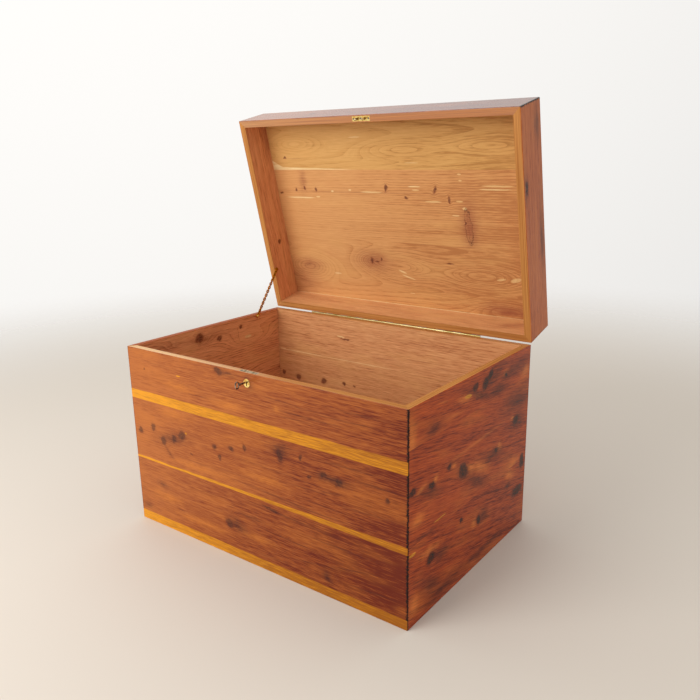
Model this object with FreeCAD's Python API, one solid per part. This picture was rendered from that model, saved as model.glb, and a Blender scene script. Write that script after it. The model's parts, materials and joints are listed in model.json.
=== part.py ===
import FreeCAD, Part
import math
import os

# A cedar blanket chest with mitred, edge-glued walls, a deep hinged lid held open by a chain,
# a mortise box lock with its key, and a link plate in the lid.
# Millimetres. The origin is the middle of the chest's underside on the floor.
# X runs to the right along the front, Y runs to the back and Z runs up.
# The lid is drawn shut and then turned about the hinge pin to the angle at which the chain is tight.

V = FreeCAD.Vector
ALONG_X = V(1, 0, 0)
ALONG_Y = V(0, 1, 0)
ALONG_Z = V(0, 0, 1)
FULL_TURN = 360.0
HALF_TURN = 180.0
RIGHT_ANGLE = 90.0

# Carcase and lid
chest_width = 900.0
chest_depth = 604.0
base_height = 511.5
lid_height = 111.5
board_thick = 20.0
lid_top_thick = 22.0
bottom_thick = 12.0
rim_gap = 1.0
lid_open_angle = 76.9

# Joints in the wood
rebate_width = 10.0
panel_fit = 0.3
tongue_thick = 4.0
tongue_reach = 5.0
tongue_fit = 0.1
bottom_board_count = 3
corner_round = 2.5
arris_round = 1.2
front_joint_shares = (0.373, 0.718)
side_joint_shares = (0.385, 0.822)
lid_joint_shares = (0.272, 0.640)

# Continuous hinge on the outside of the back
hinge_length = 600.0
hinge_offset = 3.0
knuckle_count = 21
knuckle_radius = 2.8
knuckle_gap = 0.4
hinge_pin_radius = 1.2
hinge_pin_fit = 0.05
leaf_width = 16.0
leaf_thick = 1.2
hinge_screw_count = 8

# Countersunk screws
screw_head_radius = 2.7
screw_shank_radius = 1.5
screw_length = 14.0
screw_point = 3.0
screw_slot_width = 0.9
screw_slot_depth = 0.8
screw_fit = 0.1

# Lock plate and case
selvedge_length = 57.0
selvedge_width = 13.0
selvedge_thick = 2.0
plate_screw_inset = 4.3
case_width = 43.6
case_thick = 10.0
case_height = 40.0
case_wall = 1.2
mortise_fit = 0.4

# Lock bolt and the staples that it passes through
staple_spacing = 24.0
staple_thick = 2.2
staple_width = 6.4
staple_bar = 1.6
staple_slot_fit = 0.6
bolt_thick = 2.4
bolt_throw = 4.6
bolt_slide_fit = 0.3
tongue_drop = 6.0
tongue_height = 4.0
tongue_play = 0.5
post_width = 2.2
bolt_left_overhang = 2.0

# Key, keyhole and escutcheon
key_drop = 22.5
shank_radius = 2.4
shank_play = 0.6
bit_radius = 9.0
bit_width = 5.0
bit_thick = 2.0
bit_play = 0.6
drill_pin_radius = 1.0
drill_pin_fit = 0.25
drill_pin_proud = 3.0
key_tip_gap = 0.4
bow_reach = 32.0
bow_height = 19.0
bow_width = 13.0
bow_wire_radius = 1.6
collar_radius = 3.4
collar_width = 2.0
escutcheon_thick = 1.2
escutcheon_lower_radius = 10.2
escutcheon_upper_radius = 7.6
escutcheon_lower_drop = 3.4
escutcheon_upper_rise = 0.4
escutcheon_bevel = 0.4
brad_inset = 2.2
brad_head_radius = 1.1
brad_head_height = 0.6
brad_shank_radius = 0.6
brad_length = 5.0
brad_fit = 0.1

# Lid chain and the two screws that hold it
base_eye_reach = 125.0
base_eye_drop = 5.0
lid_eye_reach = 135.0
lid_eye_rise = 5.0
eye_stand_off = 6.0
eye_shank_radius = 2.0
eye_shank_fit = 0.3
eye_screw_depth = 14.0
eye_head_radius = 4.4
eye_head_height = 2.8
eye_head_gap = 0.8
chain_wire_radius = 1.1
chain_inner_width = 3.6
chain_play = 0.4
chain_link_count = 22
lower_link_count = 10
chain_twist_angle = 90.0
end_link_reach = 9.0
link_arc_steps = 3
link_wire_sides = 6

# Cuts run this far past the faces that they open
overrun = 5.0

half_width = chest_width / 2
half_depth = chest_depth / 2
inner_half_width = half_width - board_thick
inner_half_depth = half_depth - board_thick
lid_rim = base_height + rim_gap
lid_top = lid_rim + lid_height
pin_y = half_depth + hinge_offset
pin_z = base_height + rim_gap / 2
lock_y = board_thick / 2 - half_depth
key_z = base_height - key_drop
plate_screw_x = selvedge_length / 2 - plate_screw_inset
selvedge_under = base_height - selvedge_thick
case_bottom = selvedge_under - case_height
case_front = lock_y - case_thick / 2
case_back = lock_y + case_thick / 2
case_inner_back = case_back - case_wall
tongue_top = base_height - tongue_drop
tongue_bottom = tongue_top - tongue_height
staple_bottom = tongue_bottom - tongue_play - staple_bar
staple_places = (-staple_spacing / 2, staple_spacing / 2)


def block(x0, x1, y0, y1, z0, z1):
    return Part.makeBox(x1 - x0, y1 - y0, z1 - z0, V(x0, y0, z0))


def rod(radius, start, direction, length):
    return Part.makeCylinder(radius, length, start, direction)


def prism(points, direction):
    return Part.Face(Part.makePolygon(points + points[:1])).extrude(direction)


def turned(profile):
    """A solid of revolution about Z from (radius, height) points that start and end on the axis."""
    points = [V(radius, 0, height) for radius, height in profile]
    face = Part.Face(Part.makePolygon(points + points[:1]))
    return face.revolve(V(0, 0, 0), ALONG_Z, FULL_TURN)


def cut_all(shape, tools):
    return shape.cut(Part.makeCompound(tools))


def opened(shape):
    """The shape turned with the lid from shut to open."""
    moved = shape.copy()
    moved.rotate(V(0, pin_y, pin_z), ALONG_X, -lid_open_angle)
    return moved


# Wooden shells and the boards cut from them

def level_edges(shape, height):
    small = panel_fit / 2
    return [edge for edge in shape.Edges
            if abs(edge.BoundBox.ZMin - height) < small and abs(edge.BoundBox.ZMax - height) < small]


def four_walls(z0, z1, rounded_levels):
    """A rectangular wall round the chest with rounded upright corners and softened arrises."""
    outside = block(-half_width, half_width, -half_depth, half_depth, z0, z1)
    uprights = [edge for edge in outside.Edges if edge.BoundBox.ZLength > (z1 - z0) / 2]
    outside = outside.makeFillet(corner_round, uprights)
    hollow = block(-inner_half_width, inner_half_width, -inner_half_depth, inner_half_depth,
                   z0 - overrun, z1 + overrun)
    walls = outside.cut(hollow)
    arrises = [edge for level in rounded_levels for edge in level_edges(walls, level)]
    return walls.makeFillet(arris_round, arrises)


def corner_point(corner, outward, z):
    sign_x, sign_y = corner
    return V(sign_x * (half_width + outward), sign_y * (half_depth + outward), z)


def mitred_board(walls, side, z0, z1):
    """The stretch of one wall between its two mitres, from height z0 to z1."""
    corners = ((-1, -1), (1, -1), (1, 1), (-1, 1))
    first = corners[side]
    second = corners[(side + 1) % len(corners)]
    inward = -(board_thick + overrun)
    outline = [corner_point(first, overrun, z0), corner_point(second, overrun, z0),
               corner_point(second, inward, z0), corner_point(first, inward, z0)]
    return walls.common(prism(outline, V(0, 0, z1 - z0)))


def rebate_cut(z0, z1):
    reach_x = inner_half_width + rebate_width
    reach_y = inner_half_depth + rebate_width
    return block(-reach_x, reach_x, -reach_y, reach_y, z0, z1)


def wall_boards(walls):
    sides = (("front", front_joint_shares), ("right", side_joint_shares),
             ("back", front_joint_shares), ("left", side_joint_shares))
    boards = {}
    for side, (wall, shares) in enumerate(sides):
        levels = [0] + [share * base_height for share in shares] + [base_height]
        for place, low, high in zip(("lower", "middle", "upper"), levels, levels[1:]):
            boards[f"{wall}_board_{place}"] = mitred_board(walls, side, low, high)
    return boards


def bottom_boards():
    reach_x = inner_half_width + rebate_width - panel_fit
    reach_y = inner_half_depth + rebate_width - panel_fit
    step = reach_y / bottom_board_count * 2
    tongue_low = (bottom_thick - tongue_thick) / 2
    tongue_high = tongue_low + tongue_thick
    boards = []
    for index in range(bottom_board_count):
        y0 = -reach_y + index * step
        y1 = y0 + step
        board = block(-reach_x, reach_x, y0, y1, 0, bottom_thick)
        if index < bottom_board_count - 1:
            board = board.fuse(block(-reach_x, reach_x, y1, y1 + tongue_reach, tongue_low, tongue_high))
        if index > 0:
            board = board.cut(block(-reach_x - overrun, reach_x + overrun, y0, y0 + tongue_reach + tongue_fit,
                                    tongue_low - tongue_fit, tongue_high + tongue_fit))
        boards.append(board.removeSplitter())
    return boards


def lid_top_boards():
    reach_x = inner_half_width + rebate_width - panel_fit
    reach_y = inner_half_depth + rebate_width - panel_fit
    shares = (0,) + lid_joint_shares + (1,)
    edges = [-reach_y + share * (reach_y + reach_y) for share in shares]
    return [block(-reach_x, reach_x, low, high, lid_top - lid_top_thick, lid_top)
            for low, high in zip(edges, edges[1:])]


# Screws

def screw_profile(grow):
    head = screw_head_radius + grow
    shank = screw_shank_radius + grow
    end = -screw_length - grow
    return [(0, 0), (head, 0), (shank, shank - head), (shank, end + screw_point), (0, end)]


def countersunk_screw(slot_angle):
    slot = block(-screw_head_radius, screw_head_radius, -screw_slot_width / 2, screw_slot_width / 2,
                 -screw_slot_depth, overrun)
    slot.rotate(V(0, 0, 0), ALONG_Z, slot_angle)
    return turned(screw_profile(0)).cut(slot)


def screw_hole():
    mouth = rod(screw_head_radius + screw_fit, V(0, 0, 0), ALONG_Z, overrun)
    return turned(screw_profile(screw_fit)).fuse(mouth)


def set_down(shape, x, y, z):
    """Places a screw or its hole with its head at the point and its tip below."""
    moved = shape.copy()
    moved.translate(V(x, y, z))
    return moved


def set_up(shape, x, y, z):
    """Places a screw or its hole with its head at the point and its tip above."""
    moved = shape.copy()
    moved.rotate(V(0, 0, 0), ALONG_X, HALF_TURN)
    moved.translate(V(x, y, z))
    return moved


def set_in(shape, x, y, z):
    """Places a screw or its hole with its head at the point and its tip toward the front."""
    moved = shape.copy()
    moved.rotate(V(0, 0, 0), ALONG_X, -RIGHT_ANGLE)
    moved.translate(V(x, y, z))
    return moved


leaf_face_y = half_depth + leaf_thick
leaf_edge = knuckle_radius + knuckle_gap
hinge_screw_reach = (leaf_edge + leaf_width) / 2
base_hinge_screw_z = pin_z - hinge_screw_reach
lid_hinge_screw_z = pin_z + hinge_screw_reach
hinge_screw_places = [hinge_length * ((index + 1 / 2) / hinge_screw_count - 1 / 2)
                      for index in range(hinge_screw_count)]
lock_screw_places = (-plate_screw_x, plate_screw_x)
link_screw_places = (-plate_screw_x, 0, plate_screw_x)


# Continuous hinge

def hinge_leaf(side, first_knuckle, screw_holes):
    """A flat leaf on the back, below the pin for side -1 and above it for side 1,
    with every second knuckle rolled round the pin."""
    half_length = hinge_length / 2
    near_z = pin_z + side * leaf_edge
    far_z = pin_z + side * leaf_width
    pitch = hinge_length / knuckle_count
    pieces = []
    for index in range(first_knuckle, knuckle_count, 2):
        x0 = -half_length + index * pitch + knuckle_gap / 2
        x1 = x0 + pitch - knuckle_gap
        pieces.append(block(x0, x1, half_depth, leaf_face_y, min(pin_z, near_z), max(pin_z, near_z)))
        pieces.append(rod(knuckle_radius, V(x0, pin_y, pin_z), ALONG_X, x1 - x0))
    leaf = block(-half_length, half_length, half_depth, leaf_face_y, min(near_z, far_z), max(near_z, far_z))
    leaf = leaf.multiFuse(pieces)
    bore = rod(hinge_pin_radius + hinge_pin_fit, V(-half_length - overrun, pin_y, pin_z), ALONG_X,
               hinge_length + overrun + overrun)
    return cut_all(leaf, [bore] + screw_holes).removeSplitter()


def hinge_pin():
    return rod(hinge_pin_radius, V(-hinge_length / 2, pin_y, pin_z), ALONG_X, hinge_length)


# Lock, key and link plate

def plate_outline(z0, z1):
    return block(-selvedge_length / 2, selvedge_length / 2,
                 lock_y - selvedge_width / 2, lock_y + selvedge_width / 2, z0, z1)


def keyhole(y0, y1):
    """A round hole for the shank with a slot below it for the bit."""
    slot_half = bit_thick / 2 + bit_play
    round_part = rod(shank_radius + shank_play, V(0, y0, key_z), ALONG_Y, y1 - y0)
    slot = block(-slot_half, slot_half, y0, y1, key_z - bit_radius - bit_play, key_z)
    return round_part.fuse(slot)


def mortise():
    half = case_width / 2 + mortise_fit
    return block(-half, half, case_front - mortise_fit, case_back + mortise_fit,
                 case_bottom - mortise_fit, base_height + overrun)


def lock_case(screw_holes):
    half = case_width / 2
    shell_front = case_front + case_wall
    shell = block(-half, half, shell_front, case_back, case_bottom, selvedge_under)
    room = block(case_wall - half, half - case_wall, case_front, case_inner_back,
                 case_bottom + case_wall, selvedge_under)
    selvedge = plate_outline(selvedge_under, base_height)
    pin_front = case_front - drill_pin_proud
    drill_pin = rod(drill_pin_radius, V(0, pin_front, key_z), ALONG_Y, case_back - pin_front)
    slot_x = staple_thick / 2 + staple_slot_fit
    slot_y = staple_width / 2 + staple_slot_fit
    slots = [block(x - slot_x, x + slot_x, lock_y - slot_y, lock_y + slot_y,
                   selvedge_under - overrun, base_height + overrun) for x in staple_places]
    case = shell.cut(room).multiFuse([selvedge, drill_pin])
    return cut_all(case, slots + screw_holes).removeSplitter()


def lock_cap():
    half = case_width / 2
    cap = block(-half, half, case_front, case_front + case_wall, case_bottom, selvedge_under)
    return cap.cut(keyhole(case_front - overrun, case_front + overrun))


def lock_bolt():
    """A plate that slides on the floor of the case, with two posts whose tongues face the staples."""
    y0 = lock_y - bolt_thick / 2
    thickness = V(0, bolt_thick, 0)
    z0 = case_bottom + case_wall + bolt_slide_fit
    plate_top = staple_bottom - tongue_play
    post_offset = staple_thick / 2 + bolt_slide_fit + bolt_throw
    tip_offset = staple_thick / 2 + tongue_play
    left = staple_places[0] - bolt_left_overhang
    right = staple_places[1] + post_offset + post_width
    bolt = block(left, right, y0, y0 + bolt_thick, z0, plate_top)
    for x in staple_places:
        post_left = x + post_offset
        post = [V(post_left + post_width, y0, plate_top), V(post_left + post_width, y0, tongue_top),
                V(x + tip_offset, y0, tongue_top), V(x + tip_offset, y0, tongue_bottom),
                V(post_left, y0, tongue_bottom), V(post_left, y0, plate_top)]
        bolt = bolt.fuse(prism(post, thickness))
    clear = shank_radius + shank_play
    window = block(-clear, clear + bolt_throw, y0, y0 + bolt_thick, key_z - clear, key_z + clear)
    side = bit_thick / 2 + bit_play
    foot = key_z - bit_radius - bit_play
    talon = [V(-side, y0, key_z), V(-side, y0, foot), V(side, y0, foot),
             V(side + bolt_throw / 2, y0, key_z - clear), V(side + bolt_throw / 2, y0, key_z)]
    return cut_all(bolt, [window, prism(talon, thickness)]).removeSplitter()


def key():
    """A pipe key: hollow shank, flat bit, a collar and an oval ring for a bow."""
    tip_y = case_inner_back - key_tip_gap
    bow_y = -half_depth - bow_reach
    ring_radius = bow_width / 2 - bow_wire_radius
    ring_rise = (bow_height - bow_width) / 2
    shank_start = bow_y + ring_radius
    shank = rod(shank_radius, V(0, shank_start, key_z), ALONG_Y, tip_y - shank_start)
    collar_y = shank_start + bow_wire_radius + collar_width
    collar = rod(collar_radius, V(0, collar_y, key_z), ALONG_Y, collar_width)
    bit_y = lock_y - bit_width / 2
    bit = block(-bit_thick / 2, bit_thick / 2, bit_y, bit_y + bit_width, key_z - bit_radius, key_z)
    bore_start = case_front - drill_pin_proud - key_tip_gap
    bore = rod(drill_pin_radius + drill_pin_fit, V(0, bore_start, key_z), ALONG_Y, tip_y - bore_start)
    upper = V(0, bow_y, key_z + ring_rise)
    lower = V(0, bow_y, key_z - ring_rise)
    reach = V(0, ring_radius, 0)
    rise = V(0, 0, ring_radius)
    path = Part.Wire([Part.LineSegment(lower + reach, upper + reach).toShape(),
                      Part.Arc(upper + reach, upper + rise, upper - reach).toShape(),
                      Part.LineSegment(upper - reach, lower - reach).toShape(),
                      Part.Arc(lower - reach, lower - rise, lower + reach).toShape()])
    section = Part.Wire(Part.makeCircle(bow_wire_radius, lower + reach, ALONG_Z))
    bow = path.makePipeShell([section], True, False)
    return shank.multiFuse([collar, bit, bow]).cut(bore).removeSplitter()


def escutcheon_outline(y):
    """A pear outline: two circles of different size joined by their outer tangents."""
    low_z = key_z - escutcheon_lower_drop
    high_z = key_z + escutcheon_upper_rise
    lean = math.asin((escutcheon_lower_radius - escutcheon_upper_radius) / (high_z - low_z))
    across = math.cos(lean)
    up = math.sin(lean)
    low = V(escutcheon_lower_radius * across, y, low_z + escutcheon_lower_radius * up)
    high = V(escutcheon_upper_radius * across, y, high_z + escutcheon_upper_radius * up)
    low_left = V(-low.x, y, low.z)
    high_left = V(-high.x, y, high.z)
    top = V(0, y, high_z + escutcheon_upper_radius)
    bottom = V(0, y, low_z - escutcheon_lower_radius)
    return Part.Wire([Part.Arc(high, top, high_left).toShape(), Part.LineSegment(high_left, low_left).toShape(),
                      Part.Arc(low_left, bottom, low).toShape(), Part.LineSegment(low, high).toShape()])


def brad_places():
    top = key_z + escutcheon_upper_rise + escutcheon_upper_radius - brad_inset
    bottom = key_z - escutcheon_lower_drop - escutcheon_lower_radius + brad_inset
    return [V(0, -half_depth - escutcheon_thick, z) for z in (top, bottom)]


def brad_holes():
    start = V(0, -overrun, 0)
    return [rod(brad_shank_radius + brad_fit, place + start, ALONG_Y, brad_length + overrun + brad_fit)
            for place in brad_places()]


def escutcheon():
    front = -half_depth - escutcheon_thick
    plate = Part.Face(escutcheon_outline(front)).extrude(V(0, escutcheon_thick, 0))
    rim = [edge for edge in plate.Edges if edge.BoundBox.YMax < front + escutcheon_bevel]
    plate = plate.makeChamfer(escutcheon_bevel, rim)
    return cut_all(plate, [keyhole(front - overrun, overrun - half_depth)] + brad_holes())


def escutcheon_brads():
    profile = [(0, brad_head_height), (brad_head_radius / 2, brad_head_height), (brad_head_radius, 0),
               (brad_shank_radius, 0), (brad_shank_radius, -brad_length), (0, -brad_length)]
    brads = []
    for place in brad_places():
        brad = turned(profile)
        brad.rotate(V(0, 0, 0), ALONG_X, RIGHT_ANGLE)
        brad.translate(place)
        brads.append(brad)
    return Part.makeCompound(brads)


def link_plate(screw_holes):
    plate = plate_outline(lid_rim, lid_rim + selvedge_thick)
    roots = [block(x - staple_thick / 2, x + staple_thick / 2, lock_y - staple_width / 2,
                   lock_y + staple_width / 2, lid_rim - overrun, lid_rim + overrun) for x in staple_places]
    return cut_all(plate, roots + screw_holes)


def link_staples():
    """Loops that stand in the link plate and hang into the lock, with an eye for the bolt."""
    radius = staple_width / 2
    centre_z = staple_bottom + radius
    eye_half = bolt_thick / 2 + tongue_play
    staples = []
    for x in staple_places:
        x0 = x - staple_thick / 2
        loop = block(x0, x0 + staple_thick, lock_y - radius, lock_y + radius, centre_z, lid_rim + selvedge_thick)
        loop = loop.fuse(rod(radius, V(x0, lock_y, centre_z), ALONG_X, staple_thick))
        eye = block(x0 - overrun, x0 + overrun, lock_y - eye_half, lock_y + eye_half,
                    tongue_bottom - tongue_play, tongue_top + tongue_play)
        staples.append(loop.cut(eye).removeSplitter())
    return Part.makeCompound(staples)


# Lid chain

wall_x = -inner_half_width
base_eye = V(wall_x, pin_y - base_eye_reach, base_height - base_eye_drop)
shut_lid_eye = V(wall_x, pin_y - lid_eye_reach, lid_rim + lid_eye_rise)


def eye_hole(eye):
    depth = eye_screw_depth + screw_fit
    return rod(eye_shank_radius + screw_fit, eye - V(depth, 0, 0), ALONG_X, depth + overrun)


def eye_screw(eye):
    """A round-headed screw in the left wall with a bare neck for the chain's end link."""
    neck = eye_stand_off + chain_wire_radius + eye_head_gap
    shoulder = neck + eye_head_height / 2
    profile = [(0, -eye_screw_depth), (eye_shank_radius, screw_point - eye_screw_depth),
               (eye_shank_radius, neck), (eye_head_radius, neck), (eye_head_radius, shoulder),
               (eye_head_radius / 2, neck + eye_head_height), (0, neck + eye_head_height)]
    screw = turned(profile)
    screw.rotate(V(0, 0, 0), ALONG_Y, RIGHT_ANGLE)
    screw.translate(eye)
    return screw


def chain_link(centre, along, across, inner_length, inner_width):
    """A bent wire loop with straight sides and half-round ends, faceted round the wire."""
    bend = inner_width / 2 + chain_wire_radius
    straight = (inner_length - inner_width) / 2
    normal = along.cross(across)
    rings = []
    for end in (1, -1):
        for step in range(link_arc_steps + 1):
            angle = math.radians(HALF_TURN * step / link_arc_steps - RIGHT_ANGLE)
            outward = (along * math.cos(angle) + across * math.sin(angle)) * end
            hub = centre + along * (end * straight) + outward * bend
            ring = []
            for corner in range(link_wire_sides):
                turn = math.radians(FULL_TURN * (corner + 1 / 2) / link_wire_sides)
                ring.append(hub + (outward * math.cos(turn) + normal * math.sin(turn)) * chain_wire_radius)
            rings.append(ring)
    faces = []
    for index, ring in enumerate(rings):
        following = rings[(index + 1) % len(rings)]
        for corner in range(link_wire_sides):
            beside = (corner + 1) % link_wire_sides
            outline = [ring[corner], following[corner], following[beside], ring[beside], ring[corner]]
            faces.append(Part.Face(Part.makePolygon(outline)))
    link = Part.Solid(Part.makeShell(faces))
    if link.Volume < 0:
        link.reverse()
    return link


def chain_runs():
    """The tight chain from the base screw to the lid screw, parted at the link that folds when shut."""
    lid_eye = opened(Part.Vertex(shut_lid_eye)).Point
    shift = V(eye_stand_off, 0, 0)
    start = base_eye + shift
    span = lid_eye + shift - start
    along = span * (1 / span.Length)
    pitch = (span.Length - end_link_reach - end_link_reach + chain_play) / chain_link_count
    end_inner_width = 2 * (eye_shank_radius + eye_shank_fit)
    end_inner_length = end_link_reach + eye_shank_radius + eye_shank_fit
    end_middle = (end_link_reach - eye_shank_radius - eye_shank_fit) / 2
    flat = along.cross(ALONG_X)
    links = [chain_link(start + along * end_middle, along, flat, end_inner_length, end_inner_width)]
    turn_step = RIGHT_ANGLE + chain_twist_angle / (chain_link_count + 1)
    for index in range(chain_link_count):
        middle = end_link_reach - chain_play + index * pitch + (pitch + chain_play) / 2
        angle = math.radians(turn_step * (index + 1))
        across = flat * math.cos(angle) + ALONG_X * math.sin(angle)
        links.append(chain_link(start + along * middle, along, across, pitch + chain_play, chain_inner_width))
    last = span.Length - end_middle
    links.append(chain_link(start + along * last, along, flat, end_inner_length, end_inner_width))
    print("chain span", round(span.Length, 2), "link pitch", round(pitch, 2))
    print("chain lean above the back", round(math.degrees(math.atan2(along.z, along.y)), 2))
    print("lid eye", [round(value, 3) for value in lid_eye])
    parting = lower_link_count + 1
    return Part.makeCompound(links[:parting]), Part.makeCompound(links[parting:])


def build():
    base_hinge_holes = [set_in(screw_hole(), x, leaf_face_y, base_hinge_screw_z) for x in hinge_screw_places]
    lid_hinge_holes = [set_in(screw_hole(), x, leaf_face_y, lid_hinge_screw_z) for x in hinge_screw_places]
    lock_holes = [set_down(screw_hole(), x, lock_y, base_height) for x in lock_screw_places]
    link_holes = [set_up(screw_hole(), x, lock_y, lid_rim) for x in link_screw_places]

    base_walls = four_walls(0, base_height, (0, base_height))
    base_cuts = [rebate_cut(-overrun, bottom_thick), mortise(),
                 plate_outline(selvedge_under, base_height + overrun),
                 keyhole(-half_depth - overrun, lock_y), eye_hole(base_eye)]
    base_walls = cut_all(base_walls, base_cuts + base_hinge_holes + lock_holes + brad_holes())

    lid_walls = four_walls(lid_rim, lid_top, (lid_rim, lid_top))
    lid_cuts = [rebate_cut(lid_top - lid_top_thick, lid_top + overrun),
                plate_outline(lid_rim - overrun, lid_rim + selvedge_thick), eye_hole(shut_lid_eye)]
    lid_walls = cut_all(lid_walls, lid_cuts + lid_hinge_holes + link_holes)

    nodes = wall_boards(base_walls)
    for place, board in zip(("front", "middle", "rear"), bottom_boards()):
        nodes[f"bottom_board_{place}"] = board
    for side, name in enumerate(("front", "right", "back", "left")):
        nodes[f"lid_{name}_rail"] = opened(mitred_board(lid_walls, side, lid_rim, lid_top))
    for place, board in zip(("front", "middle", "rear"), lid_top_boards()):
        nodes[f"lid_top_board_{place}"] = opened(board)

    nodes["hinge_leaf_base"] = hinge_leaf(-1, 0, base_hinge_holes)
    nodes["hinge_leaf_lid"] = opened(hinge_leaf(1, 1, lid_hinge_holes))
    nodes["hinge_pin"] = hinge_pin()
    hinge_screws = [countersunk_screw(HALF_TURN * index / hinge_screw_count) for index in range(hinge_screw_count)]
    base_screws = [set_in(screw, x, leaf_face_y, base_hinge_screw_z)
                   for screw, x in zip(hinge_screws, hinge_screw_places)]
    lid_screws = [set_in(screw, x, leaf_face_y, lid_hinge_screw_z)
                  for screw, x in zip(hinge_screws, hinge_screw_places)]
    nodes["hinge_screws_base"] = Part.makeCompound(base_screws)
    nodes["hinge_screws_lid"] = opened(Part.makeCompound(lid_screws))

    nodes["lock_case"] = lock_case(lock_holes)
    nodes["lock_cap"] = lock_cap()
    nodes["lock_bolt"] = lock_bolt()
    nodes["lock_screws"] = Part.makeCompound([set_down(countersunk_screw(0), x, lock_y, base_height)
                                              for x in lock_screw_places])
    nodes["key"] = key()
    nodes["escutcheon"] = escutcheon()
    nodes["escutcheon_brads"] = escutcheon_brads()
    nodes["link_plate"] = opened(link_plate(link_holes))
    nodes["link_staples"] = opened(link_staples())
    nodes["link_screws"] = opened(Part.makeCompound([set_up(countersunk_screw(0), x, lock_y, lid_rim)
                                                     for x in link_screw_places]))

    nodes["chain_screw_base"] = eye_screw(base_eye)
    nodes["chain_screw_lid"] = opened(eye_screw(shut_lid_eye))
    nodes["chain_lower"], nodes["chain_upper"] = chain_runs()
    return nodes


os.makedirs("parts", exist_ok=True)
for name, shape in build().items():
    shape.exportStep(f"parts/{name}.step")
    print(name, len(shape.Solids), "solid", round(shape.Volume), "mm3", "valid" if shape.isValid() else "NOT VALID")
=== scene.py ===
# %% [markdown]
# A red cedar chest, finished board by board.
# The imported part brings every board, hinge leaf, screw and lock piece at its real size and place. This lesson adds
# what the eye needs: the look of each board, the metals, rounder chain links, light and a camera.
# Loading comes first, because the joints, the boxes of the boards and the ends of the chain are read from it.

# %% Load the frame
import json
import math

import bpy
import numpy as np
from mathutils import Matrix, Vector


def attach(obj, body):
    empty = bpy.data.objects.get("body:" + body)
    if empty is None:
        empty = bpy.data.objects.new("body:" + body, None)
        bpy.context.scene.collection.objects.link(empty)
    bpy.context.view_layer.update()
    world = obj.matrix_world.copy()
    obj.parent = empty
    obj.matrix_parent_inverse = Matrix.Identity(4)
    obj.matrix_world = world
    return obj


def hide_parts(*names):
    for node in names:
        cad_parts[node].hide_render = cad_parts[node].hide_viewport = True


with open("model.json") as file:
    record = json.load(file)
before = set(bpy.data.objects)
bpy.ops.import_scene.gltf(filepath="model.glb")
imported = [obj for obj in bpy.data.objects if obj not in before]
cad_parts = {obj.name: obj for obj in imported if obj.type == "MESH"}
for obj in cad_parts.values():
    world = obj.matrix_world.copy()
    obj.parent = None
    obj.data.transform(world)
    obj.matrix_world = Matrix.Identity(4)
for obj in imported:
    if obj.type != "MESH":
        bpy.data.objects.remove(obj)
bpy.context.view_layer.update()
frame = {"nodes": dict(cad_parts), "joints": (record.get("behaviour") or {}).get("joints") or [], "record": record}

joints = {joint["name"]: joint for joint in frame["joints"]}
bodies = frame["record"]["behaviour"]["bodies"]

# %% [markdown]
# A few helpers serve every finish. Colours are written as sRGB hex, as a paint card gives them, and the shader wants
# linear light, so one function converts them. Another adds a node with its settings and links, which keeps each
# finish below a plain list of steps. A mix node takes its share at input 0, two numbers at 2 and 3, two vectors at 4
# and 5, and two colours at 6 and 7. A range node takes a value, where it starts and ends, and what it gives there.

# %% Colour and node helpers
MATH = "ShaderNodeMath"
VECTOR = "ShaderNodeVectorMath"
NOISE = "ShaderNodeTexNoise"
RANGE = "ShaderNodeMapRange"
MIX = "ShaderNodeMix"
SMOOTH = {"interpolation_type": "SMOOTHSTEP"}
COLOUR = {"data_type": "RGBA", "out": 2}


def ink(code):
    """Linear red, green, blue and alpha of an sRGB hex colour."""
    values = np.array([int(code[i:i + 2], 16) for i in (1, 3, 5)]) / 255
    linear = np.where(values <= 0.04045, values / 12.92, ((values + 0.055) / 1.055) ** 2.4)
    return (*linear.tolist(), 1.0)


def add(tree, kind, inputs=(), out=0, **settings):
    """Adds a node: settings are its properties, inputs are values or links by order or by name. Gives one output."""
    node = tree.nodes.new(kind)
    for name, value in settings.items():
        setattr(node, name, value)
    for key, value in inputs.items() if isinstance(inputs, dict) else enumerate(inputs):
        if isinstance(value, bpy.types.NodeSocket):
            tree.links.new(value, node.inputs[key])
        else:
            node.inputs[key].default_value = value
    return node.outputs[out] if node.outputs else None


def new_finish(name):
    """A material with an empty node tree."""
    material = bpy.data.materials.new(name)
    material.use_nodes = True
    material.node_tree.nodes.clear()
    return material, material.node_tree


def dress(node, material):
    """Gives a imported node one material, and returns how many shader nodes it has."""
    slots = frame["nodes"][node].data.materials
    slots.clear()
    slots.append(material)
    return len(material.node_tree.nodes)


print("helpers ready, cedar red in linear light", [round(value, 3) for value in ink("#A8522A")])

# %% [markdown]
# The camera stands where the photograph was taken from. Its place, turn and lens were solved from the corners of the
# chest, so the render lines up with the photograph and can be compared with it corner by corner.

# %% Camera
CAMERA_PLACE = (1.1716, -1.4538, 1.0063)
CAMERA_TURN_DEGREES = (74.740, 0.909, 36.667)
CAMERA_LENS_MM = 37.14
SENSOR_MM = 36.0

camera_data = bpy.data.cameras.new("photograph_view")
camera_data.sensor_width = SENSOR_MM
camera_data.lens = CAMERA_LENS_MM
camera = bpy.data.objects.new("photograph_view", camera_data)
camera.location = CAMERA_PLACE
camera.rotation_euler = [math.radians(angle) for angle in CAMERA_TURN_DEGREES]
bpy.context.scene.collection.objects.link(camera)
bpy.context.scene.camera = camera
bpy.context.scene.view_settings.view_transform = "Standard"
print("camera at", CAMERA_PLACE, "lens", CAMERA_LENS_MM, "mm")

# %% [markdown]
# A mesh here is a grid of points worked out from two parameters, with a quad between each four neighbours. The floor
# is the simplest such grid. It is pale and plain, and thins out into the bright sky, so it has no hard horizon.

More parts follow.
